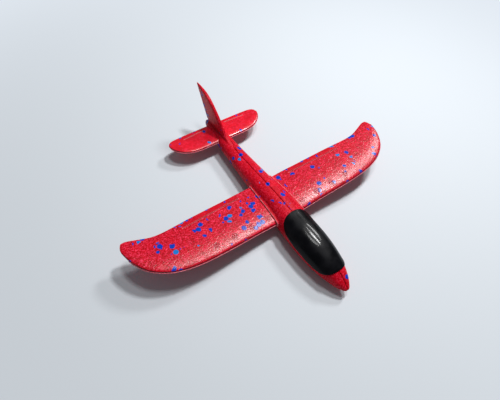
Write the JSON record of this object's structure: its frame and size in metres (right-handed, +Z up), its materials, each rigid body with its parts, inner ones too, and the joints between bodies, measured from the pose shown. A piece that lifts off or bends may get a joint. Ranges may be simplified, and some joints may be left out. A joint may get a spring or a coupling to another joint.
{
  "type": "hand launch glider",
  "caption": "Moulded bead-foam toy glider with crescent-tipped wing and tailplane in slots, trim flaps on foam hinges, swept fin and glossy black canopy.",
  "frame": {"origin": "centre of the bounding box at the belly flat, which is the surface the glider rests on", "axes": "-Y toward the nose, +X toward the aircraft's left wing tip, +Z up"},
  "size_m": [0.35, 0.3059, 0.0656],
  "materials": {
    "red_bead_foam": "satin",
    "gloss_black_shell": "gloss"
  },
  "bodies": {
    "airframe": {"fuselage_left_half": "red_bead_foam", "fuselage_right_half_with_fin": "red_bead_foam", "main_wing": "red_bead_foam"},
    "tailplane": {"tailplane": "red_bead_foam"},
    "left_elevator": {"left_elevator": "red_bead_foam"},
    "right_elevator": {"right_elevator": "red_bead_foam"},
    "left_aileron": {"left_aileron": "red_bead_foam"},
    "right_aileron": {"right_aileron": "red_bead_foam"},
    "canopy": {"canopy": "gloss_black_shell"}
  },
  "joints": [
    {"name": "left_aileron_hinge", "type": "hinge", "parent": "airframe", "child": "left_aileron", "pos_m": [0.0735, -0.00545, 0.02212], "axis": [0.9946, -0.0613, 0.0835], "range_deg": [-15, 15], "stiffness_Nm_per_rad": 0.004},
    {"name": "right_aileron_hinge", "type": "hinge", "parent": "airframe", "child": "right_aileron", "pos_m": [-0.0735, -0.00545, 0.02212], "axis": [0.9946, 0.0613, -0.0835], "range_deg": [-15, 15], "stiffness_Nm_per_rad": 0.004},
    {"name": "left_elevator_hinge", "type": "hinge", "parent": "tailplane", "child": "left_elevator", "pos_m": [0.031, 0.1136, 0.01805], "axis": [0.9984, -0.0571, 0], "range_deg": [-15, 15], "stiffness_Nm_per_rad": 0.003},
    {"name": "right_elevator_hinge", "type": "hinge", "parent": "tailplane", "child": "right_elevator", "pos_m": [-0.031, 0.1136, 0.01805], "axis": [0.9984, 0.0571, 0], "range_deg": [-15, 15], "stiffness_Nm_per_rad": 0.003},
    {"name": "tailplane_slide", "type": "slide", "parent": "airframe", "child": "tailplane", "axis": [1, 0, 0], "range_m": [0, 0.09]},
    {"name": "canopy_lift", "type": "slide", "parent": "airframe", "child": "canopy", "axis": [0, 0, 1], "range_m": [0, 0.03]}
  ]
}
